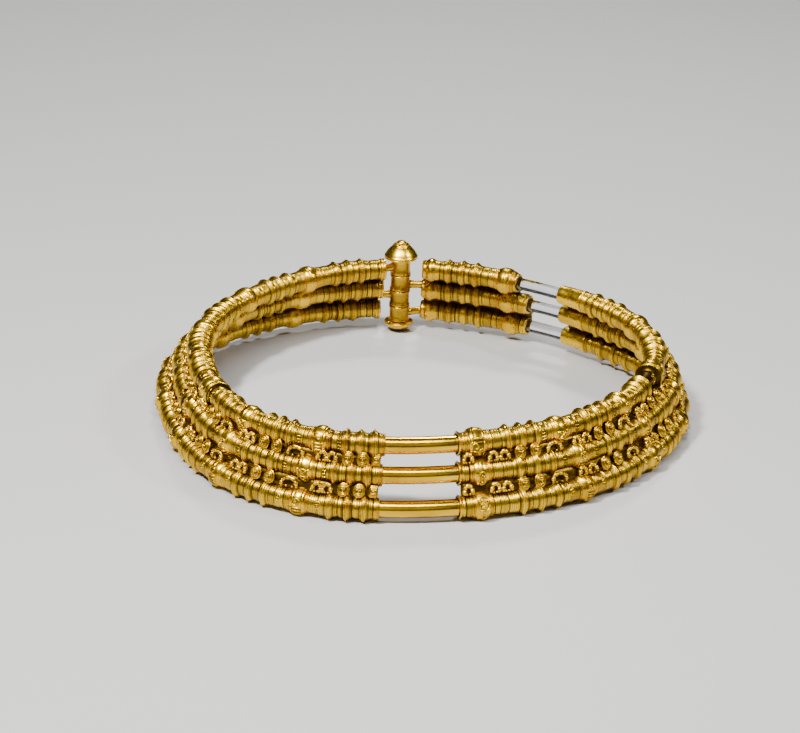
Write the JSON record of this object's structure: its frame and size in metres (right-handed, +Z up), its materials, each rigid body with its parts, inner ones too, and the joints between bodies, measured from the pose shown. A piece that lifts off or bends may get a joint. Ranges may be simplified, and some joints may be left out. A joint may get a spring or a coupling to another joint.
{
  "type": "three-ring gold collar",
  "caption": "Hinged gold neck collar: beaded tube rings, one above another, with smooth closing rods at the front and clear repair rods at the back.",
  "frame": {"origin": "on the surface that the collar lies on, under the middle of its box", "axes": "+Z up; -Y towards the front, where the smooth rods close the collar; +Y towards the hinge; +X to the right as the front is looked at"},
  "size_m": [0.2058, 0.2076, 0.0386],
  "materials": {
    "gold": "warm worked gold, bright on the ridges and brown in the grooves",
    "clear_acrylic": "clear polished repair rod"
  },
  "bodies": {
    "left_half": {"left_top_tube": "gold", "left_middle_tube": "gold", "left_bottom_tube": "gold", "left_upper_figures": "gold", "left_lower_figures": "gold", "locking_rod_top": "gold", "locking_rod_middle": "gold", "locking_rod_bottom": "gold", "hinge_pin": "gold"},
    "right_half": {"right_top_tube": "gold", "right_middle_tube": "gold", "right_bottom_tube": "gold", "right_upper_figures": "gold", "right_lower_figures": "gold", "clear_rod_top": "clear_acrylic", "clear_rod_middle": "clear_acrylic", "clear_rod_bottom": "clear_acrylic", "hinge_side_top_tube": "gold", "hinge_side_middle_tube": "gold", "hinge_side_bottom_tube": "gold", "hinge_side_upper_figures": "gold", "hinge_side_lower_figures": "gold"}
  },
  "joints": [
    {"name": "back_hinge", "type": "hinge", "parent": "left_half", "child": "right_half", "pos_m": [-0.01308, 0.09334, 0.0178], "axis": [0.0007, -0.0138, 0.9999], "range_deg": [0, 60]}
  ]
}
